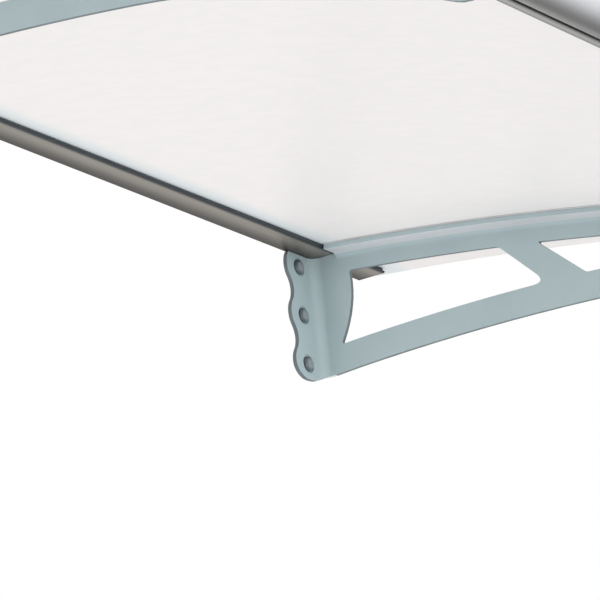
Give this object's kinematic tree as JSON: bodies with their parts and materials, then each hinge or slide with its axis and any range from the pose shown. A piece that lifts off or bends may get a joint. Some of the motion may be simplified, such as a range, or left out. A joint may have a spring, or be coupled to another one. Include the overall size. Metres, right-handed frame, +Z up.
{
  "type": "door canopy",
  "caption": "Wall-mounted door canopy: a curved opal sheet held in a rear wall rail and a front gutter, carried by two bent, pierced steel brackets.",
  "frame": {"origin": "on the wall face of the rear rail, at mid-width, 5 mm above where the sheet's underside would meet the wall", "axes": "+X along the wall, to the right as seen from the front; +Y into the wall; +Z up"},
  "size_m": [1.2, 0.808, 0.262],
  "materials": {
    "sheet": "satin opal plastic",
    "bracket_paint": "satin blue-grey powder coat",
    "rail_aluminium": "brown-grey anodised",
    "gutter_aluminium": "bright anodised",
    "cap_plastic": "moulded grey",
    "rubber": "dark extruded rubber",
    "pad": "pale foam strip",
    "zinc": "zinc plated"
  },
  "bodies": {
    "root": {"canopy_sheet": "sheet", "bracket_left": "bracket_paint", "bracket_right": "bracket_paint", "lip_seal_left": "pad", "lip_seal_right": "pad", "wall_fixing_cap_left_upper": "cap_plastic", "wall_fixing_cap_left_middle": "cap_plastic", "wall_fixing_cap_left_lower": "cap_plastic", "wall_fixing_cap_right_upper": "cap_plastic", "wall_fixing_cap_right_middle": "cap_plastic", "wall_fixing_cap_right_lower": "cap_plastic", "gutter_screw_left": "zinc", "gutter_screw_right": "zinc", "rear_rail": "rail_aluminium", "rear_rail_end_cap_left": "rail_aluminium", "rear_rail_end_cap_right": "rail_aluminium", "rear_glazing_seal": "rubber", "wall_seal": "rubber", "rail_fixing_cap_1": "cap_plastic", "rail_fixing_cap_2": "cap_plastic", "rail_fixing_cap_3": "cap_plastic", "rail_fixing_cap_4": "cap_plastic", "front_gutter": "gutter_aluminium", "front_gutter_end_cap_left": "cap_plastic", "front_gutter_end_cap_right": "cap_plastic", "front_glazing_seal": "rubber"}
  },
  "joints": []
}
